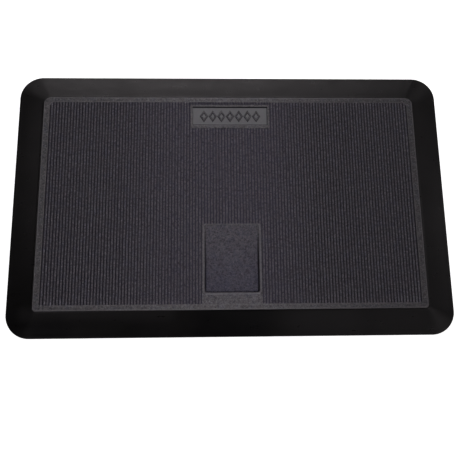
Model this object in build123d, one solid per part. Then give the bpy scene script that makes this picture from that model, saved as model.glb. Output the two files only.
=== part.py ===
from build123d import *
import os

# Anti-fatigue standing mat, in millimetres. The origin is at the centre of the underside,
# +X runs along the long side, +Y points to the far side and +Z is up.

# Whole mat
mat_width = 812.8
mat_depth = 508.0
mat_thickness = 15.9
outer_corner_radius = 43.5

# Bevelled rim
lip_height = 3.0
lip_rounding = 1.5
side_bevel = 49.0
end_bevel = 46.7

# Base sheet, let into the underside of the rim
base_thickness = 2.0
base_inset = 6.0

# Deck panel
deck_thickness = 4.0
deck_step = 1.0
deck_rounding = 1.0
deck_far_radius = 14.0
deck_near_radius = 7.0
end_margin = 10.3

# Ribs along Y, drawn as the grooves between them
rib_pitch = 5.55
groove_count = 125
groove_mouth = 2.6
groove_floor = 1.1
groove_depth = 1.8

# Toe-pull tray: a pocket whose floor slopes down to a steep near wall
pocket_width = 99.6
pocket_near = -175.6
pocket_far = -49.0
pocket_depth = 8.0
pocket_corner_radius = 4.0
tray_border = 5.3
tray_far_border = 2.0
tray_skin = 2.2

# Label plate: a frame round a shallow recess with a row of open lozenges
label_width = 153.2
label_near = 143.0
label_far = 192.0
label_side_border = 4.5
label_near_border = 6.5
label_far_border = 4.5
label_depth = 2.0
lozenge_count = 7
lozenge_width = 15.6
lozenge_height = 24.0
lozenge_pitch = 16.8
lozenge_stroke = 3.2
lozenge_relief = 1.5

# Derived places
deck_width = mat_width - 2 * side_bevel
deck_depth = mat_depth - 2 * end_bevel
deck_under = mat_thickness - deck_thickness
rim_top = mat_thickness - deck_step
tray_width = pocket_width + 2 * tray_border
tray_near = -deck_depth / 2 + end_margin
tray_far = pocket_far + tray_far_border
groove_length = deck_depth - 2 * end_margin
floor_slope = pocket_depth / (pocket_far - pocket_near)


def slab(outline, low, high):
    """Extrude a flat outline from one height to another."""
    return extrude(Pos(0, 0, low) * outline, high - low)


def block(width, near, far, low, high):
    """A box centred on X, between two Y places and two heights."""
    return slab(Pos(0, (near + far) / 2) * Rectangle(width, far - near), low, high)


def deck_outline():
    """The deck's outline, rounder at the far corners than at the near ones."""
    outline = Rectangle(deck_width, deck_depth)
    outline = fillet(outline.vertices().group_by(Axis.Y)[-1], deck_far_radius)
    return fillet(outline.vertices().group_by(Axis.Y)[0], deck_near_radius)


def base_outline():
    """The mat's outline, drawn in by the width of the rim's underside."""
    radius = outer_corner_radius - base_inset
    return RectangleRounded(mat_width - 2 * base_inset, mat_depth - 2 * base_inset, radius)


def make_base_sheet():
    """Slip-resistant sheet that the whole mat stands on."""
    return slab(base_outline(), 0, base_thickness)


def make_bevel_rim():
    """Ring with an upright lip and a bevel that rises to the deck's edge."""
    outer = RectangleRounded(mat_width, mat_depth, outer_corner_radius)
    lip = slab(outer, 0, lip_height)
    bevel = loft([Pos(0, 0, lip_height) * outer, Pos(0, 0, rim_top) * deck_outline()], ruled=True)
    ring = lip + bevel
    shoulder = [edge for edge in ring.edges() if abs(edge.center().Z - lip_height) < 0.01]
    ring = fillet(shoulder, lip_rounding)
    ring -= slab(deck_outline(), base_thickness, mat_thickness)
    return ring - slab(base_outline(), 0, base_thickness)


def pocket_floor_height(place):
    """Height of the pocket's sloping floor at a Y place."""
    return mat_thickness - floor_slope * (pocket_far - place)


def pocket_space():
    """The hollow of the pocket: a wedge with rounded near corners."""
    side = Polyline(
        (0, pocket_far, mat_thickness),
        (0, pocket_near, mat_thickness),
        (0, pocket_near, mat_thickness - pocket_depth),
        close=True,
    )
    wedge = extrude(make_face(side), pocket_width / 2, dir=(1, 0, 0), both=True)
    uprights = wedge.edges().filter_by(Axis.Z)
    return fillet(uprights, pocket_corner_radius)


def tray_keel():
    """The part of the tray below the deck: a wedge one skin outside the pocket."""
    heel = pocket_near - tray_skin
    toe = pocket_far - (deck_thickness - tray_skin) / floor_slope
    side = Polyline(
        (0, toe, deck_under),
        (0, heel, deck_under),
        (0, heel, pocket_floor_height(heel) - tray_skin),
        close=True,
    )
    return extrude(make_face(side), pocket_width / 2 + tray_skin, dir=(1, 0, 0), both=True)


def make_toe_pull_tray():
    """Flush frame and landing with the pocket sunk into them."""
    frame = block(tray_width, tray_near, tray_far, deck_under, mat_thickness)
    return frame + tray_keel() - pocket_space()


def make_foam_core():
    """Cushioning block between the base sheet and the deck, with the tray's seat."""
    return slab(deck_outline(), base_thickness, deck_under) - tray_keel()


def rhombus(size):
    """A flat rhombus with upright and level diagonals, scaled from the lozenge's outline."""
    tip_x = lozenge_width / 2 * size
    tip_y = lozenge_height / 2 * size
    return make_face(Polyline((tip_x, 0), (0, tip_y), (-tip_x, 0), (0, -tip_y), close=True))


def lozenge():
    """An open lozenge: a rhombus with a smaller one taken out."""
    side = (lozenge_width**2 + lozenge_height**2) ** 0.5
    inner_size = 1 - 2 * lozenge_stroke * side / (lozenge_width * lozenge_height)
    return rhombus(1) - rhombus(inner_size)


def make_label_plate():
    """Framed plate with a shallow recess and a plain row of raised lozenges."""
    recess_floor = mat_thickness - label_depth
    recess_near = label_near + label_near_border
    recess_far = label_far - label_far_border
    recess_width = label_width - 2 * label_side_border
    plate = block(label_width, label_near, label_far, deck_under, mat_thickness)
    plate -= block(recess_width, recess_near, recess_far, recess_floor, mat_thickness)
    for index in range(lozenge_count):
        place_x = (index - (lozenge_count - 1) / 2) * lozenge_pitch
        outline = Pos(place_x, (recess_near + recess_far) / 2) * lozenge()
        plate += slab(outline, recess_floor, recess_floor + lozenge_relief)
    return plate


def groove():
    """One groove between two ribs, wider at its mouth than at its floor."""
    section = Polyline(
        (-groove_mouth / 2, 0),
        (groove_mouth / 2, 0),
        (groove_floor / 2, -groove_depth),
        (-groove_floor / 2, -groove_depth),
        close=True,
    )
    face = Plane.XZ.offset(-groove_length / 2) * make_face(section)
    return Pos(0, 0, mat_thickness) * extrude(face, groove_length)


def make_ribbed_deck():
    """Wear panel: plain margin, ribbed field, and windows for the tray and the label plate."""
    deck = slab(deck_outline(), deck_under, mat_thickness)
    rim_edges = [edge for edge in deck.edges() if abs(edge.center().Z - mat_thickness) < 0.01]
    deck = fillet(rim_edges, deck_rounding)
    middle = (groove_count - 1) / 2
    cutter = groove()
    deck -= [Pos((index - middle) * rib_pitch, 0, 0) * cutter for index in range(groove_count)]
    deck -= block(tray_width, tray_near, tray_far, deck_under, mat_thickness)
    return deck - block(label_width, label_near, label_far, deck_under, mat_thickness)


parts = {
    "base_sheet": make_base_sheet(),
    "foam_core": make_foam_core(),
    "bevel_rim": make_bevel_rim(),
    "ribbed_deck": make_ribbed_deck(),
    "toe_pull_tray": make_toe_pull_tray(),
    "label_plate": make_label_plate(),
}

os.makedirs("parts", exist_ok=True)
for name, part in parts.items():
    export_step(part, f"parts/{name}.step")
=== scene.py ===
import math

import bmesh
import bpy
from mathutils import Matrix, Vector, noise


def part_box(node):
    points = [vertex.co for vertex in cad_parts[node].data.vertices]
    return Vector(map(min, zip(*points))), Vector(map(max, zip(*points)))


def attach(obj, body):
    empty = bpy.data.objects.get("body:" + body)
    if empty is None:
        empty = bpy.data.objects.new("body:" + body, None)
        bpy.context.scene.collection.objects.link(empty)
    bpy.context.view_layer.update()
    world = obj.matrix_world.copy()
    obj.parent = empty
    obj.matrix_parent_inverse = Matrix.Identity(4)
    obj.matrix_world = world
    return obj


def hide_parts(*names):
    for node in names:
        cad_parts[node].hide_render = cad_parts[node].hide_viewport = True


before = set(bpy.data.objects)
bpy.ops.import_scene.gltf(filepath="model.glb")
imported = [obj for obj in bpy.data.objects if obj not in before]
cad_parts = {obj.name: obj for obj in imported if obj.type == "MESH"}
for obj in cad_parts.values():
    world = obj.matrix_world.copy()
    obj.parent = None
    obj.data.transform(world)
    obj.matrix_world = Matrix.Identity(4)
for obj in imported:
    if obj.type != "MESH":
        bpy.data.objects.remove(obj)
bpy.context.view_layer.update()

# Everything is in metres, in the CAD model's frame: origin under the mat's centre, +X along the
# long side, +Y to the far side, +Z up. Sizes below are written in millimetres and multiplied by MM.
MM = 0.001

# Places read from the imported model
rim_low, rim_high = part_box("bevel_rim")
base_low, base_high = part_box("base_sheet")
core_low, core_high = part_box("foam_core")
deck_low, deck_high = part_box("ribbed_deck")
tray_low, tray_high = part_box("toe_pull_tray")
label_low, label_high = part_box("label_plate")
TOP = deck_high[2]

# Shape details that the boxes don't give
OUTER_RADIUS = 43.5 * MM
LIP_HEIGHT = 3.0 * MM
DECK_FAR_RADIUS = 14.0 * MM
DECK_NEAR_RADIUS = 7.0 * MM
FIELD_FAR_RADIUS = 9.0 * MM
FIELD_NEAR_RADIUS = 3.0 * MM
DECK_ROUNDING = 1.0 * MM
END_MARGIN = 10.3 * MM
RIB_PITCH = 5.55 * MM
GROOVE_COUNT = 125
GROOVE_HALF = 1.3 * MM
GROOVE_DEPTH = 1.8 * MM
POCKET_HALF_WIDTH = 49.8 * MM
POCKET_NEAR = -175.6 * MM
POCKET_FAR = -49.0 * MM
POCKET_DEPTH = 8.0 * MM
POCKET_RADIUS = 4.0 * MM
CHANNEL_DEPTH = 1.0 * MM
TRAY_SKIN = 2.2 * MM
LABEL_SIDE_BORDER = 4.5 * MM
LABEL_NEAR_BORDER = 6.5 * MM
LABEL_FAR_BORDER = 4.5 * MM
LABEL_DEPTH = 2.0 * MM
LOZENGE_COUNT = 7
LOZENGE_WIDTH = 15.6 * MM
LOZENGE_HEIGHT = 24.0 * MM
LOZENGE_PITCH = 16.8 * MM
LOZENGE_STROKE = 3.2 * MM
LOZENGE_RELIEF = 1.5 * MM
GRIP_BORDER = 14.0 * MM
GRIP_PITCH = 8.0 * MM
GRIP_DEPTH = 0.6 * MM
GRIP_WAVE = 3.0 * MM
GRIP_WAVELENGTH = 48.0 * MM

# Outlines in plan, as (left, right, near, far)
DECK_BOX = (deck_low[0], deck_high[0], deck_low[1], deck_high[1])
RIM_BOX = (rim_low[0], rim_high[0], rim_low[1], rim_high[1])
BASE_BOX = (base_low[0], base_high[0], base_low[1], base_high[1])
BASE_RADIUS = OUTER_RADIUS - (base_low[0] - rim_low[0])
CORE_BOX = (core_low[0], core_high[0], core_low[1], core_high[1])
TRAY_BOX = (tray_low[0], tray_high[0], tray_low[1], tray_high[1])
POCKET_BOX = (-POCKET_HALF_WIDTH, POCKET_HALF_WIDTH, POCKET_NEAR, POCKET_FAR)
FIELD_SIDE = (GROOVE_COUNT - 1) / 2 * RIB_PITCH + GROOVE_HALF
FIELD_BOX = (-FIELD_SIDE, FIELD_SIDE, deck_low[1] + END_MARGIN, deck_high[1] - END_MARGIN)
LABEL_BOX = (label_low[0], label_high[0], label_low[1], label_high[1])
LABEL_RECESS_BOX = (
    label_low[0] + LABEL_SIDE_BORDER,
    label_high[0] - LABEL_SIDE_BORDER,
    label_low[1] + LABEL_NEAR_BORDER,
    label_high[1] - LABEL_FAR_BORDER,
)


# ----- mesh helpers

def smoothstep(value, low, high):
    """0 below low, 1 above high, and a smooth ramp between."""
    t = min(max((value - low) / (high - low), 0.0), 1.0)
    return t * t * (3 - 2 * t)


def wander(x, y, size, seed):
    """A smooth random height between about -1 and 1 that changes over size metres."""
    return noise.noise(Vector((x / size, y / size, seed)))


def rounded_loop(box, near_radius, far_radius, steps, corner_steps=8):
    """Points of a rounded rectangle, anticlockwise from the middle of the near left corner.

    box is (left, right, near, far) and steps the number of divisions of the straight
    stretches along X and Y. Loops with the same steps match point for point.
    """
    left, right, near, far = box
    near_radius = max(near_radius, 0.05 * MM)
    far_radius = max(far_radius, 0.05 * MM)
    corners = (
        (left + near_radius, near + near_radius, near_radius, 225, 270),
        (right - near_radius, near + near_radius, near_radius, 270, 360),
        (right - far_radius, far - far_radius, far_radius, 0, 90),
        (left + far_radius, far - far_radius, far_radius, 90, 180),
        (left + near_radius, near + near_radius, near_radius, 180, 225),
    )
    loop = []
    for index, (x, y, radius, start, end) in enumerate(corners):
        arc_steps = round((end - start) / 45) * corner_steps
        arc = []
        for step in range(arc_steps + 1):
            angle = math.radians(start + (end - start) * step / arc_steps)
            arc.append((x + radius * math.cos(angle), y + radius * math.sin(angle)))
        if loop:
            divisions = steps[(index - 1) % 2]
            (last_x, last_y), (first_x, first_y) = loop[-1], arc[0]
            for step in range(1, divisions):
                part = step / divisions
                loop.append((last_x + (first_x - last_x) * part, last_y + (first_y - last_y) * part))
        loop.extend(arc)
    return loop[:-1]


def inset(box, by):
    """A (left, right, near, far) box drawn in on all sides."""
    return box[0] + by, box[1] - by, box[2] + by, box[3] - by


def between(loop_a, loop_b, part):
    """A loop part of the way from one matching loop to another."""
    return [(a[0] + (b[0] - a[0]) * part, a[1] + (b[1] - a[1]) * part) for a, b in zip(loop_a, loop_b)]


def at_height(loop, height):
    """Lift a flat loop: height is a number or a function of x and y."""
    if callable(height):
        return [(x, y, height(x, y)) for x, y in loop]
    return [(x, y, height) for x, y in loop]


class Builder:
    """Collects points and faces for one mesh."""

    def __init__(self):
        self.points = []
        self.faces = []

    def ring(self, loop):
        """Add a loop of points and return their numbers."""
        start = len(self.points)
        self.points.extend(loop)
        return list(range(start, start + len(loop)))

    def bridge(self, ring_a, ring_b):
        """Join two matching rings with a band of quads."""
        count = len(ring_a)
        for index in range(count):
            following = (index + 1) % count
            self.faces.append((ring_a[index], ring_a[following], ring_b[following], ring_b[index]))

    def tube(self, loops, closed=False):
        """Stack matching loops into a wall, and return the first and last rings."""
        rings = [self.ring(loop) for loop in loops]
        for ring_a, ring_b in zip(rings, rings[1:]):
            self.bridge(ring_a, ring_b)
        if closed:
            self.bridge(rings[-1], rings[0])
        return rings[0], rings[-1]

    def cap(self, ring, steps, height, face_up=True, corner_steps=8):
        """Close a ring made by rounded_loop with a grid.

        The grid's inner points are blended in plan from its four sides, and take their height
        from a function of x and y.
        """
        across = 2 * corner_steps + steps[0]
        along = 2 * corner_steps + steps[1]
        near = ring[: across + 1]
        right = ring[across : across + along + 1]
        far = ring[across + along : 2 * across + along + 1][::-1]
        left = (ring[2 * across + along :] + ring[:1])[::-1]
        place = {number: self.points[number] for number in ring}
        grid = [[None] * (along + 1) for _ in range(across + 1)]
        for i in range(across + 1):
            for j in range(along + 1):
                if j == 0:
                    grid[i][j] = near[i]
                elif j == along:
                    grid[i][j] = far[i]
                elif i == 0:
                    grid[i][j] = left[j]
                elif i == across:
                    grid[i][j] = right[j]
                else:
                    u, v = i / across, j / along
                    x, y = (
                        (1 - v) * place[near[i]][k] + v * place[far[i]][k]
                        + (1 - u) * place[left[j]][k] + u * place[right[j]][k]
                        - (1 - u) * (1 - v) * place[near[0]][k] - u * (1 - v) * place[near[-1]][k]
                        - (1 - u) * v * place[far[0]][k] - u * v * place[far[-1]][k]
                        for k in (0, 1)
                    )
                    grid[i][j] = len(self.points)
                    self.points.append((x, y, height(x, y)))
        for i in range(across):
            for j in range(along):
                quad = (grid[i][j], grid[i + 1][j], grid[i + 1][j + 1], grid[i][j + 1])
                self.faces.append(quad if face_up else quad[::-1])

    def piece(self, name, node, material, sharp_angle=50):
        """Make the mesh object that stands for a CAD node and rides on the mat's one body."""
        mesh = bpy.data.meshes.new(name)
        mesh.from_pydata(self.points, [], self.faces)
        mesh.polygons.foreach_set("use_smooth", [True] * len(mesh.polygons))
        mesh.set_sharp_from_angle(angle=math.radians(sharp_angle))
        mesh.materials.append(material)
        mesh.update()
        made = bpy.data.objects.new(name, mesh)
        bpy.context.scene.collection.objects.link(made)
        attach(made, "root")
        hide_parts(node)
        return made


# ----- materials

class Nodes:
    """A short way to write a node material."""

    def __init__(self, name):
        self.material = bpy.data.materials.new(name)
        self.material.use_nodes = True
        self.tree = self.material.node_tree
        self.shader = self.tree.nodes["Principled BSDF"]
        self.place = self.add("ShaderNodeTexCoord").outputs["Object"]

    def add(self, kind, **settings):
        """A new node with some of its properties set."""
        node = self.tree.nodes.new(kind)
        for key, value in settings.items():
            setattr(node, key, value)
        return node

    def link(self, source, target):
        self.tree.links.new(source, target)

    def noise(self, scale, detail=4.0, roughness=0.55, stretch=(1, 1, 1)):
        """Noise over the object's own coordinates, in features per metre."""
        mapping = self.add("ShaderNodeMapping")
        mapping.inputs["Scale"].default_value = stretch
        self.link(self.place, mapping.inputs["Vector"])
        node = self.add("ShaderNodeTexNoise")
        node.inputs["Scale"].default_value = scale
        node.inputs["Detail"].default_value = detail
        node.inputs["Roughness"].default_value = roughness
        self.link(mapping.outputs["Vector"], node.inputs["Vector"])
        return node.outputs["Fac"]

    def cells(self, scale):
        """Cell pattern: distance to the nearest cell centre."""
        node = self.add("ShaderNodeTexVoronoi")
        node.inputs["Scale"].default_value = scale
        self.link(self.place, node.inputs["Vector"])
        return node.outputs["Distance"]

    def remap(self, value, low, high, new_low, new_high):
        """A smooth ramp from one range to another, held at its ends."""
        node = self.add("ShaderNodeMapRange", interpolation_type="SMOOTHSTEP")
        node.inputs["From Min"].default_value = low
        node.inputs["From Max"].default_value = high
        node.inputs["To Min"].default_value = new_low
        node.inputs["To Max"].default_value = new_high
        self.link(value, node.inputs["Value"])
        return node.outputs["Result"]

    def maths(self, operation, *values):
        """A Math node over numbers or outputs."""
        node = self.add("ShaderNodeMath", operation=operation)
        self.feed(node, values)
        return node.outputs["Value"]

    def vectors(self, operation, *values):
        """A Vector Math node over fixed vectors or outputs."""
        node = self.add("ShaderNodeVectorMath", operation=operation)
        self.feed(node, values)
        return node.outputs["Value" if operation == "LENGTH" else "Vector"]

    def feed(self, node, values):
        """Set a node's first inputs to numbers or vectors, or link them to outputs."""
        for socket, value in zip(node.inputs, values):
            if isinstance(value, (int, float, tuple)):
                socket.default_value = value
            else:
                self.link(value, socket)

    def mix(self, factor, colour_a, colour_b):
        """Blend two colours, or colour outputs, by a factor output."""
        node = self.add("ShaderNodeMix", data_type="RGBA")
        self.link(factor, node.inputs["Factor"])
        sockets = [socket for socket in node.inputs if socket.type == "RGBA"]
        for socket, colour in zip(sockets, (colour_a, colour_b)):
            if isinstance(colour, tuple):
                socket.default_value = (*colour, 1.0)
            else:
                self.link(colour, socket)
        return [socket for socket in node.outputs if socket.type == "RGBA"][0]

    def tinted(self, factor, colour, tint):
        """A colour multiplied by a tint, as far as a factor output says."""
        return self.mix(factor, colour, self.vectors("MULTIPLY", colour, tint))

    def outside(self, box, radius):
        """Distance in plan from a rounded (left, right, near, far) box, negative inside it."""
        left, right, near, far = box
        centre = ((left + right) / 2, (near + far) / 2, 0.0)
        flat = self.vectors("MULTIPLY", self.place, (1.0, 1.0, 0.0))
        folded = self.vectors("ABSOLUTE", self.vectors("SUBTRACT", flat, centre))
        reach = ((right - left) / 2 - radius, (far - near) / 2 - radius, 0.0)
        beyond = self.vectors("SUBTRACT", folded, reach)
        corner = self.vectors("LENGTH", self.vectors("MAXIMUM", beyond, (0.0, 0.0, 0.0)))
        split = self.add("ShaderNodeSeparateXYZ")
        self.link(beyond, split.inputs["Vector"])
        within = self.maths("MAXIMUM", split.outputs["X"], split.outputs["Y"])
        within = self.maths("MINIMUM", within, 0.0)
        return self.maths("SUBTRACT", self.maths("ADD", corner, within), radius)

    def band(self, value, low, high, soft, strength=1.0):
        """A strength while a value is between low and high, falling softly to 0 outside."""
        rise = self.remap(value, low - soft, low, 0, strength)
        fall = self.remap(value, high, high + soft, 1, 0)
        return self.maths("MULTIPLY", rise, fall)

    def along(self, axis):
        """The shaded point's place along X, Y or Z."""
        node = self.add("ShaderNodeSeparateXYZ")
        self.link(self.place, node.inputs["Vector"])
        return node.outputs[axis]

    def bump(self, height, distance, strength, under=None):
        """A normal raised by a height output, over another bump's normal if one is given."""
        node = self.add("ShaderNodeBump")
        node.inputs["Strength"].default_value = strength
        node.inputs["Distance"].default_value = distance
        self.link(height, node.inputs["Height"])
        if under is not None:
            self.link(under, node.inputs["Normal"])
        return node.outputs["Normal"]

    def finish(self, colour, roughness, normal, specular=0.45):
        """Join the outputs to the shader, set its specular level and return the material."""
        self.link(colour, self.shader.inputs["Base Color"])
        self.link(roughness, self.shader.inputs["Roughness"])
        self.link(normal, self.shader.inputs["Normal"])
        self.shader.inputs["Specular IOR Level"].default_value = specular
        return self.material


# Colours that the deck pieces share, linear
DECK_CREST = (0.1318, 0.1248, 0.1333)
# The groove colour is the dark violet of painted shade, used in the grooves, on the lozenges' flanks
# and round the pocket and the recess.
DECK_PAINTED_SHADE = (0.0285, 0.0236, 0.0385)
LABEL_FLOOR = (0.240, 0.233, 0.248)

# How far left of the mat's middle the painted highlight is palest
HIGHLIGHT_SHIFT = 20 * MM

# Patches on the near bevel, as boxes in plan: painted pale reflection and sheen, and painted dark
# reflections
PAINTED_REFLECTION_PATCH = (0.110, 0.215, -0.245, -0.217)
PAINTED_SHEEN_STRIP = (-0.375, -0.110, -0.2160, -0.2073)
PAINTED_DARK_REFLECTIONS = (
    (-0.050, 0.050, -0.260, -0.200),
    (-0.345, -0.305, -0.260, -0.240),
)


def scaled(colour, *factors):
    """A colour with its channels multiplied, by one factor or by one each."""
    return tuple(channel * factor for channel, factor in zip(colour, factors * (3 // len(factors))))


def rim_material():
    """Smooth satin black skin with faint clouds, rub marks, dust, and painted pale and dark reflections
    on the near bevel.
    """
    made = Nodes("rim_skin")
    clouds = made.remap(made.noise(9, detail=5), 0.35, 0.7, 0, 1)
    colour = made.mix(clouds, (0.0066, 0.0058, 0.0061), (0.0122, 0.0108, 0.0114))
    # Painted reflections on the near bevel: a pale patch, a pale sheen just below the deck's edge, and
    # dark patches.
    pale_reflection = made.remap(made.outside(PAINTED_REFLECTION_PATCH, 14 * MM), -8 * MM, 45 * MM, 0.75, 0)
    colour = made.mix(pale_reflection, colour, (0.0215, 0.0196, 0.0207))
    sheen_strip = made.remap(made.outside(PAINTED_SHEEN_STRIP, 4 * MM), -4 * MM, 18 * MM, 0.85, 0)
    colour = made.mix(sheen_strip, colour, (0.0250, 0.0228, 0.0240))
    for patch in PAINTED_DARK_REFLECTIONS:
        dark_reflection = made.remap(made.outside(patch, 10 * MM), -5 * MM, 36 * MM, 0.85, 0)
        colour = made.mix(dark_reflection, colour, (0.0014, 0.0013, 0.0022))
    specks = made.remap(made.noise(900, detail=2), 0.68, 0.78, 0, 1)
    colour = made.mix(specks, colour, (0.030, 0.028, 0.028))
    rubs = made.noise(40, detail=6, stretch=(1, 2.5, 1))
    roughness = made.remap(rubs, 0.25, 0.75, 0.27, 0.33)
    skin = made.bump(made.noise(1600, detail=3), 0.06 * MM, 0.5)
    normal = made.bump(made.noise(28, detail=3), 0.5 * MM, 0.25, under=skin)
    made.shader.inputs["Specular Tint"].default_value = (1.0, 0.935, 0.965, 1.0)
    return made.finish(colour, roughness, normal)


def charcoal(made, crest, grain=1.0):
    """Colour, roughness and normal of the matt pebbled skin that the deck pieces share."""
    # Painted light: the middle of the mat is painted paler, as a broad highlight, and its near edge
    # paler too.
    aside = made.maths("ABSOLUTE", made.maths("ADD", made.along("X"), HIGHLIGHT_SHIFT))
    colour = made.mix(made.remap(aside, 0.0, 0.36, 0, 1), scaled(crest, 1.36), scaled(crest, 0.90))
    near = made.remap(made.along("Y"), -0.200, -0.178, 0.38, 0)
    colour = made.mix(near, colour, scaled(crest, 1.50))
    # Broad warm and cool tints
    tints = made.noise(70, detail=3)
    colour = made.mix(made.remap(tints, 0.45, 0.65, 0, 0.45), colour, scaled(crest, 1.14, 0.99, 1.00))
    colour = made.mix(made.remap(tints, 0.35, 0.50, 0.45, 0), colour, scaled(crest, 0.86, 0.88, 1.12))
    # Dark and pale mottle, finer flecks, and the pits between the pebbles
    mottle = made.noise(200, detail=4, roughness=0.65)
    colour = made.mix(made.remap(mottle, 0.33, 0.50, 0.75, 0), colour, scaled(crest, 0.50, 0.49, 0.56))
    colour = made.mix(made.remap(mottle, 0.52, 0.68, 0, 0.75), colour, scaled(crest, 1.75))
    flecks = made.noise(330, detail=5, roughness=0.75)
    colour = made.mix(made.remap(flecks, 0.52, 0.70, 0, 0.90), colour, scaled(crest, 2.0))
    colour = made.mix(made.remap(flecks, 0.31, 0.48, 0.80, 0), colour, scaled(crest, 0.42, 0.40, 0.46))
    pits = made.cells(800)
    colour = made.mix(made.remap(pits, 0.45, 0.8, 0, 0.6), colour, scaled(crest, 0.40))
    roughness = made.remap(flecks, 0.3, 0.7, 0.62, 0.46)
    pebbles = made.bump(pits, 0.35 * MM * grain, 0.8)
    normal = made.bump(made.noise(280, detail=5, roughness=0.7), 1.0 * MM * grain, 0.8, under=pebbles)
    return colour, roughness, normal


def deck_material():
    """Charcoal skin of the ribbed panel: dark violet painted shade in the grooves, and painted
    highlights on the edges.
    """
    made = Nodes("deck_skin")
    colour, roughness, normal = charcoal(made, DECK_CREST)
    # Painted highlights: pale lines along the deck's rounded outer edge and just outside the ribbed
    # field.
    edge_highlight = scaled(DECK_CREST, 1.55, 1.52, 1.50)
    outer_line = made.band(made.outside(DECK_BOX, 9 * MM), -2.2 * MM, 0.0, 0.8 * MM, 0.55)
    colour = made.mix(outer_line, colour, edge_highlight)
    inner_line = made.band(made.outside(FIELD_BOX, 8 * MM), 0.1 * MM, 1.5 * MM, 0.7 * MM, 0.40)
    colour = made.mix(inner_line, colour, edge_highlight)
    # The ribbed field is a shade more violet than the margin.
    from_field = made.outside(FIELD_BOX, 6 * MM)
    field = made.remap(from_field, -0.8 * MM, 0.2 * MM, 0.75, 0)
    colour = made.tinted(field, colour, (1.17, 1.142, 1.265))
    # Painted light: the margin is painted palest at the middle of the mat, and paler to the left than
    # to the right.
    across = made.along("X")
    aside = made.maths("ABSOLUTE", made.maths("ADD", across, HIGHLIGHT_SHIFT))
    ends = made.mix(made.remap(across, -0.2, 0.2, 0, 1), (1.02, 1.02, 1.02), (0.84, 0.83, 0.84))
    painted_light = made.mix(made.remap(aside, 0.0, 0.34, 0, 1), (1.31, 1.31, 1.31), ends)
    margin = made.remap(from_field, -0.5 * MM, 0.5 * MM, 0, 1)
    colour = made.tinted(margin, colour, painted_light)
    # The rib ends between the label plate and the far margin are darkened with painted shade.
    strip = made.outside((label_low[0], label_high[0], label_high[1], FIELD_BOX[3]), 0.5 * MM)
    shade_strip = made.remap(strip, -0.5 * MM, 0.5 * MM, 0.45, 0)
    colour = made.mix(shade_strip, colour, scaled(DECK_PAINTED_SHADE, 1.2))
    # Painted shade darkens the grooves, most of all to the right; in the middle of the mat they are
    # painted paler, as painted light.
    groove_shade = made.mix(
        made.remap(across, -0.25, -0.05, 0, 1), scaled(DECK_PAINTED_SHADE, 0.9), scaled(DECK_PAINTED_SHADE, 2.6)
    )
    groove_shade = made.mix(made.remap(across, 0.05, 0.18, 0, 1), groove_shade, scaled(DECK_PAINTED_SHADE, 0.55))
    depth = made.remap(made.along("Z"), TOP - 0.75 * GROOVE_DEPTH, TOP - 0.06 * GROOVE_DEPTH, 1, 0)
    colour = made.mix(depth, colour, groove_shade)
    return made.finish(colour, roughness, normal)


def tray_material():
    """Charcoal skin of the tray: paler borders, and a cooler floor with painted shade that darkens with
    depth.
    """
    made = Nodes("tray_skin")
    crest = scaled(DECK_CREST, 0.96, 0.95, 0.98)
    colour, roughness, normal = charcoal(made, crest)
    pocket = made.outside(POCKET_BOX, POCKET_RADIUS)
    height = made.along("Z")
    border = made.band(pocket, 1.0 * MM, 3.6 * MM, 0.8 * MM, 0.55)
    colour = made.mix(border, colour, scaled(crest, 2.0))
    landing = made.remap(made.along("Y"), POCKET_NEAR - 4 * MM, POCKET_NEAR - 1 * MM, 1, 0)
    colour = made.tinted(landing, colour, (1.32, 1.32, 1.32))
    inside = made.remap(pocket, -3 * MM, -1 * MM, 0.6, 0)
    colour = made.tinted(inside, colour, (1.0, 0.97, 1.10))
    # Painted shade: the floor is darker and cooler the deeper it lies.
    sunk = made.remap(height, TOP - POCKET_DEPTH, TOP - 0.5 * MM, 1, 0)
    colour = made.tinted(sunk, colour, (0.84, 0.84, 0.95))
    # Painted shade lies along the foot of the pocket's wall, most of it on the right.
    left, right, near, far = POCKET_BOX
    shaded = made.outside((left - 0.9 * MM, right, near - 0.6 * MM, far), POCKET_RADIUS)
    shade_band = made.band(shaded, -2.2 * MM, 0.4 * MM, 0.9 * MM)
    shade_band = made.maths("MULTIPLY", shade_band, made.remap(pocket, 0, 1 * MM, 1, 0))
    deep = made.remap(height, TOP - 3.5 * MM, TOP - 0.3 * MM, 0.85, 0)
    colour = made.mix(made.maths("MULTIPLY", shade_band, deep), colour, scaled(DECK_PAINTED_SHADE, 0.8))
    return made.finish(colour, roughness, normal)


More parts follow.
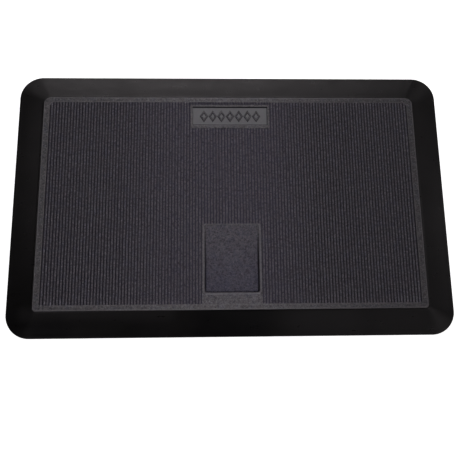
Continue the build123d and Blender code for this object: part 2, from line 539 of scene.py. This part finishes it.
def label_material():
    """Charcoal frame and lozenges over a paler recess."""
    made = Nodes("label_skin")
    colour, roughness, normal = charcoal(made, scaled(DECK_CREST, 1.12), grain=0.5)
    left, right, near, far = LABEL_RECESS_BOX
    height = made.along("Z")
    low = TOP - LABEL_DEPTH
    # Painted shade on the lozenges' flanks.
    flanks = made.band(height, low + 0.3 * MM, low + 1.2 * MM, 0.25 * MM, 0.85)
    colour = made.mix(flanks, colour, DECK_PAINTED_SHADE)
    # Painted light: the recess floor is painted paler towards the far side.
    painted_light = made.remap(made.along("Y"), near, far, 0, 1)
    floor = made.mix(painted_light, LABEL_FLOOR, scaled(LABEL_FLOOR, 1.08))
    colour = made.mix(made.remap(height, low + 0.05 * MM, low + 0.25 * MM, 0.9, 0), colour, floor)
    # Painted highlight: a pale line on the frame along the recess's edge.
    edge = made.outside(LABEL_RECESS_BOX, 1 * MM)
    line = made.band(edge, 0.6 * MM, 2.0 * MM, 0.6 * MM, 0.35)
    colour = made.mix(line, colour, scaled(DECK_CREST, 2.0))
    # Painted shadow lies along the recess's far side, and less of it along the right side.
    inside = made.remap(edge, 0.2 * MM, 0.5 * MM, 1, 0)
    clear = 12 * MM
    for box, strength in (
        ((left - clear, right + clear, near - clear, far), 0.95),
        ((left - clear, right, near - clear, far + clear), 0.55),
    ):
        shade_band = made.band(made.outside(box, 1 * MM), -1.4 * MM, 0.3 * MM, 0.5 * MM, strength)
        shade_band = made.maths("MULTIPLY", shade_band, inside)
        colour = made.mix(shade_band, colour, scaled(DECK_PAINTED_SHADE, 0.6))
    return made.finish(colour, roughness, normal)


def foam_material():
    """Closed-cell polyurethane foam with small round cells and a slightly uneven colour."""
    made = Nodes("foam")
    cells = made.cells(420)
    colour = made.mix(made.remap(cells, 0.1, 0.7, 0, 1), (0.055, 0.055, 0.06), (0.025, 0.025, 0.028))
    big = made.noise(25, detail=4)
    colour = made.mix(made.remap(big, 0.35, 0.7, 0, 0.5), colour, (0.075, 0.075, 0.08))
    roughness = made.remap(big, 0.3, 0.7, 0.82, 0.95)
    normal = made.bump(cells, 0.8 * MM, 0.9)
    return made.finish(colour, roughness, normal, specular=0.3)


def grip_material():
    """Matt black slip-resistant rubber, slightly dusty."""
    made = Nodes("grip_sheet")
    dust = made.noise(30, detail=6)
    colour = made.mix(made.remap(dust, 0.4, 0.75, 0, 1), (0.012, 0.012, 0.013), (0.026, 0.025, 0.024))
    roughness = made.remap(dust, 0.3, 0.7, 0.7, 0.88)
    normal = made.bump(made.noise(1100, detail=4), 0.2 * MM, 0.7)
    return made.finish(colour, roughness, normal, specular=0.4)


# ----- pieces

# The lip's foot and the mould line round it: inward distance and height, in millimetres
LIP_FOOT = ((0.9, 0.0), (0.35, 0.15), (0.08, 0.5), (0.0, 0.95), (-0.16, 1.15), (0.0, 1.35))

# The rim's rounded inner edge: distance from the deck and drop from the crest, in millimetres
RIM_INNER_EDGE = ((0.75, 0.06), (0.4, 0.22), (0.12, 0.6), (0.0, 1.2))


def make_bevel_rim(material):
    """Ring with an upright lip, a mould line round it, and a long bevel up to the deck's edge."""
    steps = (72, 44)
    corner_steps = 12
    outer = rounded_loop(RIM_BOX, OUTER_RADIUS, OUTER_RADIUS, steps, corner_steps)
    inner = rounded_loop(DECK_BOX, DECK_NEAR_RADIUS, DECK_FAR_RADIUS, steps, corner_steps)
    ledge = rounded_loop(BASE_BOX, BASE_RADIUS, BASE_RADIUS, steps, corner_steps)
    crest = rim_high[2]
    sheet_top = base_high[2]
    run = deck_low[0] - rim_low[0]
    rise = crest - LIP_HEIGHT
    shoulder = 1.6 * MM
    crown = 0.25 * MM
    unevenness = 0.16 * MM
    bevel_start, bevel_reach, bevel_steps = 0.045, 0.93, 14
    loops = []

    def outline(depth, height):
        """Add a loop at a distance in from the mat's edge."""
        loops.append(at_height(between(outer, inner, depth / run), height))

    def soft_slope(part):
        """Height of the bevel, very slightly crowned and uneven like a moulded skin."""
        fade = math.sin(math.pi * part)
        middle = LIP_HEIGHT + rise * part + crown * fade
        return lambda x, y: middle + unevenness * fade * wander(x, y, 0.11, 3.0)

    loops.append(at_height(ledge, 0.0))
    for depth, height in LIP_FOOT:
        outline(depth * MM, height * MM)
    shoulder_foot = LIP_HEIGHT - shoulder * 0.55 - 0.12 * MM
    for turn in range(7):
        angle = math.radians(75) * turn / 6
        outline(shoulder * (1 - math.cos(angle)), shoulder_foot + shoulder * math.sin(angle))
    for step in range(1, bevel_steps + 1):
        part = bevel_start + bevel_reach * step / bevel_steps
        loops.append(at_height(between(outer, inner, part), soft_slope(part)))
    for back, drop in RIM_INNER_EDGE:
        outline(run - back * MM, crest - drop * MM)
    outline(run, sheet_top)
    loops.append(at_height(ledge, sheet_top))
    builder = Builder()
    builder.tube(loops, closed=True)
    return builder.piece("bevel_rim_skin", "bevel_rim", material)


def make_base_sheet(material):
    """Slip-resistant sheet with waved grip grooves in its underside."""
    corner_steps = 8
    steps = (150, 330)
    top = base_high[2]
    rounding = 0.4 * MM
    cap_inset = 2.5 * MM

    def sheet_loop(depth, height):
        radius = BASE_RADIUS - depth
        loop = rounded_loop(inset(BASE_BOX, depth), radius, radius, steps, corner_steps)
        return at_height(loop, height)

    def underside(x, y):
        edge = min(x - base_low[0], base_high[0] - x, y - base_low[1], base_high[1] - y)
        place = (y + GRIP_WAVE * math.sin(math.tau * x / GRIP_WAVELENGTH)) / GRIP_PITCH
        near_line = abs(place - round(place)) * GRIP_PITCH
        groove = 1 - smoothstep(near_line, 0.6 * MM, 1.7 * MM)
        return GRIP_DEPTH * groove * smoothstep(edge, GRIP_BORDER, GRIP_BORDER + 3 * MM)

    builder = Builder()
    profile = ((cap_inset, 0.0), (rounding, 0.0), (0.0, rounding), (0.0, top), (cap_inset, top))
    bottom, lid = builder.tube([sheet_loop(depth, height) for depth, height in profile])
    builder.cap(bottom, steps, underside, face_up=False, corner_steps=corner_steps)
    # The top is hidden and flat, so one many-sided face closes it.
    builder.faces.append(tuple(lid))
    return builder.piece("base_grip_sheet", "base_sheet", material)


def pocket_drop(y):
    """Depth of the pocket's sloping floor under the deck's top at a Y place."""
    return POCKET_DEPTH * (POCKET_FAR - y) / (POCKET_FAR - POCKET_NEAR)


def pocket_loop(depth, steps, corner_steps):
    """The pocket's outline, drawn in by a depth: round near corners and square far ones."""
    near_radius = max(POCKET_RADIUS - depth, 1.2 * MM)
    return rounded_loop(inset(POCKET_BOX, depth), near_radius, 0.6 * MM, steps, corner_steps)


def make_foam_core(material):
    """Cushioning block with rounded edges and a wedge-shaped seat for the tray."""
    steps = (60, 40)
    corner_steps = 6
    rounding = 0.6 * MM
    seat_radius = 0.3 * MM
    low, high = core_low[2], core_high[2]
    slope = POCKET_DEPTH / (POCKET_FAR - POCKET_NEAR)
    seat_far = POCKET_FAR - (TOP - high - TRAY_SKIN) / slope
    seat_side = POCKET_HALF_WIDTH + TRAY_SKIN
    seat_near = POCKET_NEAR - TRAY_SKIN
    seat_box = (-seat_side, seat_side, seat_near, seat_far)

    def core_loop(depth):
        near_radius, far_radius = DECK_NEAR_RADIUS - depth, DECK_FAR_RADIUS - depth
        return rounded_loop(inset(CORE_BOX, depth), near_radius, far_radius, steps, corner_steps)

    def seat_loop(depth):
        return rounded_loop(inset(seat_box, depth), seat_radius, seat_radius, steps, corner_steps)

    def top(x, y):
        if abs(x) < seat_side and seat_near < y < POCKET_FAR:
            floor = TOP - pocket_drop(y) - TRAY_SKIN - 0.15 * MM
            return min(high, max(floor, low + 1 * MM))
        return high

    profile = ((rounding, low), (0.0, low + rounding), (0.0, high - rounding), (rounding, high))
    loops = [at_height(core_loop(depth), height) for depth, height in profile]
    for part in (0.25, 0.5, 0.75, 1.0):
        loops.append(at_height(between(core_loop(rounding), seat_loop(0.0), part), high))
    loops.append(at_height(seat_loop(0.05 * MM), top))
    builder = Builder()
    bottom, last = builder.tube(loops)
    builder.cap(last, steps, top, corner_steps=corner_steps)
    builder.faces.append(tuple(reversed(bottom)))
    made = builder.piece("foam_cushion", "foam_core", material)
    return made


# A groove is narrow and steep, and the rib's crest is gently rounded: distance from the groove's
# centre, as a share of its half width, and the share of the full depth there
GROOVE_PROFILE = (
    (0.0, 1.0), (0.35, 0.97), (0.5, 0.84), (0.62, 0.58),
    (0.75, 0.32), (0.95, 0.16), (1.25, 0.085), (1.65, 0.03),
)

# How a groove runs out at its ends: distance from the end in millimetres, and share of the depth
GROOVE_END = ((0.0, 0.0), (0.25, 0.12), (0.55, 0.55), (0.9, 0.9), (1.3, 1.0))

# The two windows in the deck, as their lowest and highest corners
WINDOWS = ((tray_low, tray_high), (label_low, label_high))

# The deck's flat top, inside its rounded edge
DECK_TOP_BOX = inset(DECK_BOX, DECK_ROUNDING)
DECK_TOP_NEAR_RADIUS = DECK_NEAR_RADIUS - DECK_ROUNDING
DECK_TOP_FAR_RADIUS = DECK_FAR_RADIUS - DECK_ROUNDING

# The least distance between the deck's last columns, and between its outline and a rib's end
LEAST_GAP = 0.4 * MM

# Y places of the rows of points along the ribs. A window's edges need rows of their own.
INNER_ROWS = (
    *(place * MM for place in (-160, -130, -100, -70, -55)), tray_high[1],
    *(place * MM for place in (-20, 10, 40, 70, 100, 125)), label_low[1],
    *(place * MM for place in (155, 168, 180)), label_high[1],
)


def deck_columns():
    """X places of the deck's columns from left to right, each with its share of the groove depth."""
    middle = (GROOVE_COUNT - 1) // 2
    profile = [(GROOVE_HALF * part, share) for part, share in GROOVE_PROFILE]
    half_rib = profile + [(RIB_PITCH * 0.5, 0.0)]
    right = list(half_rib)
    for index in range(1, middle + 1):
        centre = index * RIB_PITCH
        right += [(centre - distance, share) for distance, share in profile[::-1]]
        following = half_rib[1:] if index < middle else profile[1:6]
        right += [(centre + distance, share) for distance, share in following]
    right.append((middle * RIB_PITCH + GROOVE_HALF * 1.25, 0.0))
    # More columns round the deck's corner.
    for turn in range(9):
        angle = math.radians(90) * turn / 8
        place = DECK_TOP_BOX[1] - DECK_TOP_FAR_RADIUS * (1 - math.sin(angle))
        if place > right[-1][0] + LEAST_GAP:
            right.append((place, 0.0))
    # The column nearest to a window's edge moves onto it.
    for _, high in WINDOWS:
        nearest = nearest_to([place for place, _ in right], high[0])
        right[nearest] = (high[0], right[nearest][1])
    left = [(-place, share) for place, share in right[:0:-1]]
    return left + right


def edge_of(x, box, radius, near):
    """Y of a rounded outline at an X place, on its near or far side."""
    left, right, low, high = box
    beyond = max(abs(x - (left + right) / 2) - ((right - left) / 2 - radius), 0.0)
    fall = radius - math.sqrt(max(radius * radius - beyond * beyond, 0.0))
    return low + fall if near else high - fall


def deck_column_points(x, share):
    """Points of one column of the deck's top, from near to far, at an X place."""
    outline_near = edge_of(x, DECK_TOP_BOX, DECK_TOP_NEAR_RADIUS, True)
    outline_far = edge_of(x, DECK_TOP_BOX, DECK_TOP_FAR_RADIUS, False)
    field_x = min(abs(x), FIELD_SIDE)
    start = edge_of(field_x, FIELD_BOX, FIELD_NEAR_RADIUS, True)
    end = edge_of(field_x, FIELD_BOX, FIELD_FAR_RADIUS, False)
    if abs(x) >= FIELD_SIDE:
        start = max(start, outline_near + LEAST_GAP)
        end = min(end, outline_far - LEAST_GAP)
    rows = [(outline_near, 0.0), (outline_near + (start - outline_near) * 0.5, 0.0)]
    rows += [(start + distance * MM, part) for distance, part in GROOVE_END]
    rows += [(place, 1.0) for place in INNER_ROWS]
    rows += [(end - distance * MM, part) for distance, part in GROOVE_END[::-1]]
    rows += [(outline_far + (end - outline_far) * 0.5, 0.0), (outline_far, 0.0)]
    # The ribbed field dips very slightly here and there, like a moulded skin.
    points = []
    for y, part in rows:
        dip = min(0.05 * MM * wander(x, y, 0.05, 7.0) * part, 0.0)
        points.append((x, y, TOP - GROOVE_DEPTH * share * part + dip))
    return points


def outward(x, y):
    """Flat direction out of the deck's top outline at a point on it."""
    radius = DECK_TOP_NEAR_RADIUS if y < 0 else DECK_TOP_FAR_RADIUS
    corner_x = math.copysign(DECK_TOP_BOX[1] - radius, x)
    corner_y = DECK_TOP_BOX[2] + radius if y < 0 else DECK_TOP_BOX[3] - radius
    beyond_x = (x - corner_x) * math.copysign(1, x)
    beyond_y = (y - corner_y) * math.copysign(1, y)
    if beyond_x > 0 and beyond_y > 0:
        return Vector((x - corner_x, y - corner_y)).normalized()
    if beyond_x > beyond_y:
        return Vector((math.copysign(1, x), 0))
    return Vector((0, math.copysign(1, y)))


def grid_border(grid, first, last, near, far):
    """Numbers round a block of a grid of points, anticlockwise from its near left corner."""
    return (
        [grid[i][near] for i in range(first, last + 1)]
        + [grid[last][j] for j in range(near + 1, far + 1)]
        + [grid[i][far] for i in range(last - 1, first - 1, -1)]
        + [grid[first][j] for j in range(far - 1, near, -1)]
    )


def nearest_to(values, wanted):
    """Index of the value that is nearest to the one wanted."""
    return min(range(len(values)), key=lambda index: abs(values[index] - wanted))


def make_ribbed_deck(material):
    """Wear panel: rounded ribs that run out at a plain margin, and windows for two other pieces."""
    columns = deck_columns()
    builder = Builder()
    grid = [builder.ring(deck_column_points(x, share)) for x, share in columns]
    rows = len(grid[0])
    count = len(grid)

    def in_window(i, j):
        a, b = builder.points[grid[i][j]], builder.points[grid[i + 1][j + 1]]
        x, y = (a[0] + b[0]) / 2, (a[1] + b[1]) / 2
        return any(low[0] < x < high[0] and low[1] < y < high[1] for low, high in WINDOWS)

    for i in range(count - 1):
        for j in range(rows - 1):
            if not in_window(i, j):
                quad = (grid[i][j], grid[i + 1][j], grid[i + 1][j + 1], grid[i][j + 1])
                builder.faces.append(quad)

    # The outer skirt rounds over and drops to the deck's underside.
    outline = grid_border(grid, 0, count - 1, 0, rows - 1)
    skirt = outline
    for angle, height in ((22, None), (45, None), (68, None), (90, None), (90, deck_low[2])):
        turn = math.radians(angle)
        loop = []
        for number in outline:
            x, y, z = builder.points[number]
            way = outward(x, y) * DECK_ROUNDING * math.sin(turn)
            drop = z - DECK_ROUNDING * (1 - math.cos(turn))
            loop.append((x + way.x, y + way.y, drop if height is None else height))
        following = builder.ring(loop)
        builder.bridge(skirt[::-1], following[::-1])
        skirt = following

    # Each window's walls drop to the underside.
    column_x = [x for x, _ in columns]
    row_y = [builder.points[number][1] for number in grid[count // 2]]
    window_feet = []
    for low, high in WINDOWS:
        first, last = nearest_to(column_x, low[0]), nearest_to(column_x, high[0])
        near, far = nearest_to(row_y, low[1]), nearest_to(row_y, high[1])
        border = grid_border(grid, first, last, near, far)
        foot = builder.ring([(*builder.points[number][:2], deck_low[2]) for number in border])
        builder.bridge(border, foot)
        window_feet.append(foot)

    made = builder.piece("ribbed_wear_panel", "ribbed_deck", material)
    close_underside(made.data, skirt, window_feet)
    return made


def close_underside(mesh, outline, windows):
    """Fill the flat underside between an outline and its windows."""
    shape = bmesh.new()
    shape.from_mesh(mesh)
    shape.verts.ensure_lookup_table()
    edges = []
    for loop in (outline, *windows):
        for index, number in enumerate(loop):
            pair = (shape.verts[number], shape.verts[loop[(index + 1) % len(loop)]])
            edges.append(shape.edges.get(pair))
    bmesh.ops.triangle_fill(shape, edges=edges, use_beauty=False, use_dissolve=False)
    bmesh.ops.recalc_face_normals(shape, faces=shape.faces)
    shape.to_mesh(mesh)
    shape.free()


# The pocket's wall: inward distance in millimetres, the share of the floor's depth reached there,
# and the share of the channel that runs round the floor at the foot of the wall
POCKET_WALL = (
    (-1.0, 0.0, 0.0), (-0.4, 0.01, 0.0), (-0.1, 0.05, 0.0), (0.15, 0.18, 0.0),
    (0.5, 0.45, 0.0), (0.9, 0.75, 0.1), (1.2, 0.93, 0.5), (1.5, 1.0, 0.9),
    (1.9, 1.0, 1.0), (2.4, 1.0, 0.6), (2.9, 1.0, 0.2), (3.6, 1.0, 0.0),
)


def make_toe_pull_tray(material):
    """Flush frame round a pocket with a sloping floor and a steep near wall."""
    steps = (40, 48)
    corner_steps = 6
    rounding = 0.55 * MM
    under = deck_low[2]
    frame_radius = 0.4 * MM

    def frame_loop(depth):
        """The frame's outline, drawn in by a depth except at the near end."""
        left, right, _, far = inset(TRAY_BOX, depth)
        box = (left, right, TRAY_BOX[2], far)
        return rounded_loop(box, frame_radius, frame_radius, steps, corner_steps)

    def pocket_outline(depth):
        return pocket_loop(depth, steps, corner_steps)

    def frame_edge(drop):
        """Height of the frame's rounded edge, which stays level where it meets the near margin."""
        return lambda x, y: TOP if y < tray_low[1] + 1.5 * MM else TOP - drop

    def pocket_height(share, channel=0.0):
        def height(x, y):
            drop = max(pocket_drop(y), 0.0)
            return TOP - drop * share - CHANNEL_DEPTH * channel * min(drop / (3 * MM), 1.0)
        return height

    def floor(x, y):
        """The sloping floor, slightly uneven like a moulded skin."""
        return pocket_height(1.0)(x, y) + 0.10 * MM * wander(x, y, 0.02, 11.0)

    def keel(x, y):
        return min(under, TOP - pocket_drop(y) - TRAY_SKIN)

    loops = [at_height(frame_loop(0), under)]
    for angle in (0, 30, 60, 90):
        turn = math.radians(angle)
        loop = frame_loop(rounding * (1 - math.cos(turn)))
        loops.append(at_height(loop, frame_edge(rounding * (1 - math.sin(turn)))))
    halfway = between(frame_loop(rounding), pocket_outline(POCKET_WALL[0][0] * MM), 0.5)
    loops.append(at_height(halfway, TOP))
    for depth, share, channel in POCKET_WALL:
        loops.append(at_height(pocket_outline(depth * MM), pocket_height(share, channel)))
    builder = Builder()
    bottom, last = builder.tube(loops)
    builder.cap(last, steps, floor, corner_steps=corner_steps)

    # Underside: a flat flange, then the keel one skin below the floor.
    flange = builder.ring(at_height(pocket_outline(-TRAY_SKIN), under))
    keel_edge = builder.ring(at_height(pocket_outline(-TRAY_SKIN + 0.1 * MM), keel))
    builder.bridge(flange, bottom)
    builder.bridge(keel_edge, flange)
    builder.cap(keel_edge, steps, keel, face_up=False, corner_steps=corner_steps)
    return builder.piece("toe_pull_insert", "toe_pull_tray", material, sharp_angle=70)


def lozenge_distance(x, y, centre_y):
    """Distance of a place from the middle line of the nearest lozenge's stroke."""
    index = round(x / LOZENGE_PITCH + (LOZENGE_COUNT - 1) / 2)
    index = min(max(index, 0), LOZENGE_COUNT - 1)
    dx = abs(x - (index - (LOZENGE_COUNT - 1) / 2) * LOZENGE_PITCH)
    dy = abs(y - centre_y)
    half_x, half_y = LOZENGE_WIDTH / 2, LOZENGE_HEIGHT / 2
    outside = (dx * half_y + dy * half_x - half_x * half_y) / math.hypot(half_x, half_y)
    return abs(outside + LOZENGE_STROKE / 2)


# The recess's wall: inward distance at the sides, near and far in millimetres, and the share of the
# depth. The near wall is a broad chamfer, and the others are steep.
RECESS_WALL = (
    (-0.4, -0.8, -0.4, 0.0), (-0.1, -0.3, -0.1, 0.05), (0.1, 0.3, 0.1, 0.3),
    (0.3, 1.2, 0.3, 0.75), (0.5, 1.9, 0.5, 0.96), (0.9, 2.6, 0.9, 1.0),
)


def make_label_plate(material):
    """Framed plate with a shallow recess and a row of raised open lozenges."""
    steps = (330, 92)
    corner_steps = 3
    left, right, near, far = LABEL_RECESS_BOX
    centre_y = (near + far) / 2
    rounding = 0.4 * MM
    plate_radius = 0.5 * MM

    def plate_loop(depth):
        return rounded_loop(inset(LABEL_BOX, depth), plate_radius, plate_radius, steps, corner_steps)

    def recess_loop(side, near_side, far_side):
        radius = max(1.2 - side, 0.2) * MM
        box = (left + side * MM, right - side * MM, near + near_side * MM, far - far_side * MM)
        return rounded_loop(box, radius, radius, steps, corner_steps)

    def floor(x, y):
        stroke = lozenge_distance(x, y, centre_y)
        half = LOZENGE_STROKE / 2
        raised = 1 - smoothstep(stroke, half - 0.9 * MM, half + 0.3 * MM)
        return TOP - LABEL_DEPTH + LOZENGE_RELIEF * raised

    loops = [at_height(plate_loop(0), label_low[2])]
    for angle in (0, 30, 60, 90):
        turn = math.radians(angle)
        loop = plate_loop(rounding * (1 - math.cos(turn)))
        loops.append(at_height(loop, TOP - rounding * (1 - math.sin(turn))))
    for side, near_side, far_side, share in RECESS_WALL:
        loops.append(at_height(recess_loop(side, near_side, far_side), TOP - LABEL_DEPTH * share))
    builder = Builder()
    bottom, last = builder.tube(loops)
    builder.cap(last, steps, floor, corner_steps=corner_steps)
    builder.faces.append(tuple(reversed(bottom)))
    return builder.piece("label_panel", "label_plate", material)


# ----- stage, lights and camera

# The floor's side in metres, its glow round the mat and far from it, and the distances from the
# mat's centre between which one turns into the other
FLOOR_SIZE = 12.0
FLOOR_GLOW = 0.78
FLOOR_FAR_GLOW = 1.05
GLOW_START = 0.7
GLOW_END = 2.0

# The backdrop's strength as the camera sees it, and as a source of light
WORLD_SEEN = 1.0
WORLD_LIGHT = 0.0

# Display gamma: below 1 it darkens the middle tones, like a camera's contrast curve
CONTRAST_GAMMA = 0.8

# A separate program fitted most lights in these two tables to the photo's shading. Not fitted but given
# one by one are near_right_middle, near_low, near_left_middle and small changes to two others' watts.

# Square softboxes on a wide circle round the mat, all aimed at its centre: name, direction in
# degrees clockwise from the far side, height in degrees above the floor, side in metres, watts
SOFTBOX_DISTANCE = 5.0
SOFTBOXES = (
    ("far_middle_left", 345, 30, 1.2, 13.2),
    ("far_middle", 0, 30, 1.2, 15.7),
    ("far_middle_right", 15, 30, 1.2, 8.4),
    ("far_right_middle", 40, 30, 1.2, 4.1),
    ("far_right_high", 50, 48, 1.2, 8.8),
    ("right_middle", 75, 30, 1.2, 7.3),
    ("right_upper", 75, 48, 1.2, 1.6),
    ("right_high", 105, 48, 1.2, 5.8),
    ("near_right_small", 140, 60, 0.6, 1.7),
    ("near_right_steep", 155, 66, 0.6, 1.3),
    ("near_right_middle", 130, 42, 1.2, 13.0),
    ("near_low", 180, 12, 1.2, 12.0),
    ("near_left_middle", 220, 33, 1.2, 5.0),
    ("near_left_high", 210, 48, 1.2, 7.8),
    ("far_left_high", 300, 48, 1.2, 5.1),
    ("far_left_middle", 325, 33, 1.2, 6.3),
)

# Long narrow softboxes overhead, lying along Y: name, place, size along X and Y, power in watts
OVERHEAD_STRIPS = (
    ("overhead_far", (-0.25, 0.45, 1.9), (0.25, 1.2), 6.1),
    ("overhead_near", (-0.15, 0.15, 1.9), (0.25, 1.2), 5.2),
)

# The camera's place in millimetres, its turn to the right, dip and roll in degrees, its sensor's
# width and focal length in millimetres, and its sideways shift as a share of the width
CAMERA_PLACE = (-43.9, -387.7, 1264.0)
CAMERA_ANGLES = (8.986, 75.087, 8.416)
CAMERA_SENSOR = 36.0
CAMERA_LENS = 54.68
CAMERA_SHIFT = -0.013


def make_floor():
    """Plain pale studio floor that glows towards white, and more so far from the mat."""
    reach = FLOOR_SIZE / 2
    mesh = bpy.data.meshes.new("studio_floor")
    corners = [(-reach, -reach, 0), (reach, -reach, 0), (reach, reach, 0), (-reach, reach, 0)]
    mesh.from_pydata(corners, [], [(0, 1, 2, 3)])
    floor = bpy.data.objects.new("studio_floor", mesh)
    bpy.context.scene.collection.objects.link(floor)
    made = Nodes("studio_floor")
    tint = made.mix(made.remap(made.noise(1.5), 0.3, 0.7, 0, 1), (0.80, 0.80, 0.80), (0.83, 0.83, 0.83))
    made.link(tint, made.shader.inputs["Base Color"])
    made.shader.inputs["Roughness"].default_value = 0.9
    made.shader.inputs["Emission Color"].default_value = (1, 1, 1, 1)
    distance = made.vectors("LENGTH", made.place)
    glow = made.remap(distance, GLOW_START, GLOW_END, FLOOR_GLOW, FLOOR_FAR_GLOW)
    made.link(glow, made.shader.inputs["Emission Strength"])
    mesh.materials.append(made.material)


def add_softbox(name, place, size, power):
    """A light that faces the mat's centre and that the camera doesn't see."""
    data = bpy.data.lights.new(name, "AREA")
    data.shape = "RECTANGLE"
    data.size, data.size_y = size
    data.energy = power
    lamp = bpy.data.objects.new(name, data)
    lamp.location = place
    lamp.rotation_euler = Vector(place).to_track_quat("Z", "Y").to_euler()
    lamp.visible_camera = False
    bpy.context.scene.collection.objects.link(lamp)


def make_lights():
    """The circle of softboxes and the strips overhead."""
    for name, direction, height, side, power in SOFTBOXES:
        turn, rise = math.radians(direction), math.radians(height)
        flat = SOFTBOX_DISTANCE * math.cos(rise)
        place = (flat * math.sin(turn), flat * math.cos(turn), SOFTBOX_DISTANCE * math.sin(rise))
        add_softbox(name, place, (side, side), power)
    for strip in OVERHEAD_STRIPS:
        add_softbox(*strip)


def make_world():
    """A white backdrop that only the camera sees, so that it adds no light."""
    world = bpy.data.worlds.new("studio")
    world.use_nodes = True
    tree = world.node_tree
    background = tree.nodes["Background"]
    background.inputs["Color"].default_value = (1, 1, 1, 1)
    path = tree.nodes.new("ShaderNodeLightPath")
    level = tree.nodes.new("ShaderNodeMapRange")
    level.inputs["To Min"].default_value = WORLD_LIGHT
    level.inputs["To Max"].default_value = WORLD_SEEN
    tree.links.new(path.outputs["Is Camera Ray"], level.inputs["Value"])
    tree.links.new(level.outputs["Result"], background.inputs["Strength"])
    bpy.context.scene.world = world


def make_camera():
    """Camera above the near edge, looking steeply down and a little to the right."""
    turn, dip, roll = (math.radians(angle) for angle in CAMERA_ANGLES)
    forward = Vector((math.sin(turn) * math.cos(dip), math.cos(turn) * math.cos(dip), -math.sin(dip)))
    level = Vector((math.cos(turn), -math.sin(turn), 0))
    upright = level.cross(forward)
    right = level * math.cos(roll) + upright * math.sin(roll)
    up = upright * math.cos(roll) - level * math.sin(roll)
    data = bpy.data.cameras.new("camera")
    data.sensor_width = CAMERA_SENSOR
    data.lens = CAMERA_LENS
    data.shift_x = CAMERA_SHIFT
    camera = bpy.data.objects.new("camera", data)
    axes = Matrix((right, up, -forward)).transposed().to_4x4()
    camera.matrix_world = Matrix.Translation(Vector(CAMERA_PLACE) * MM) @ axes
    bpy.context.scene.collection.objects.link(camera)
    bpy.context.scene.camera = camera


def main():
    """Set the stage, then make the six pieces."""
    view = bpy.context.scene.view_settings
    view.view_transform = "Standard"
    view.gamma = CONTRAST_GAMMA
    make_camera()
    make_world()
    make_lights()
    make_floor()
    make_bevel_rim(rim_material())
    make_ribbed_deck(deck_material())
    make_toe_pull_tray(tray_material())
    make_label_plate(label_material())
    make_foam_core(foam_material())
    make_base_sheet(grip_material())


main()
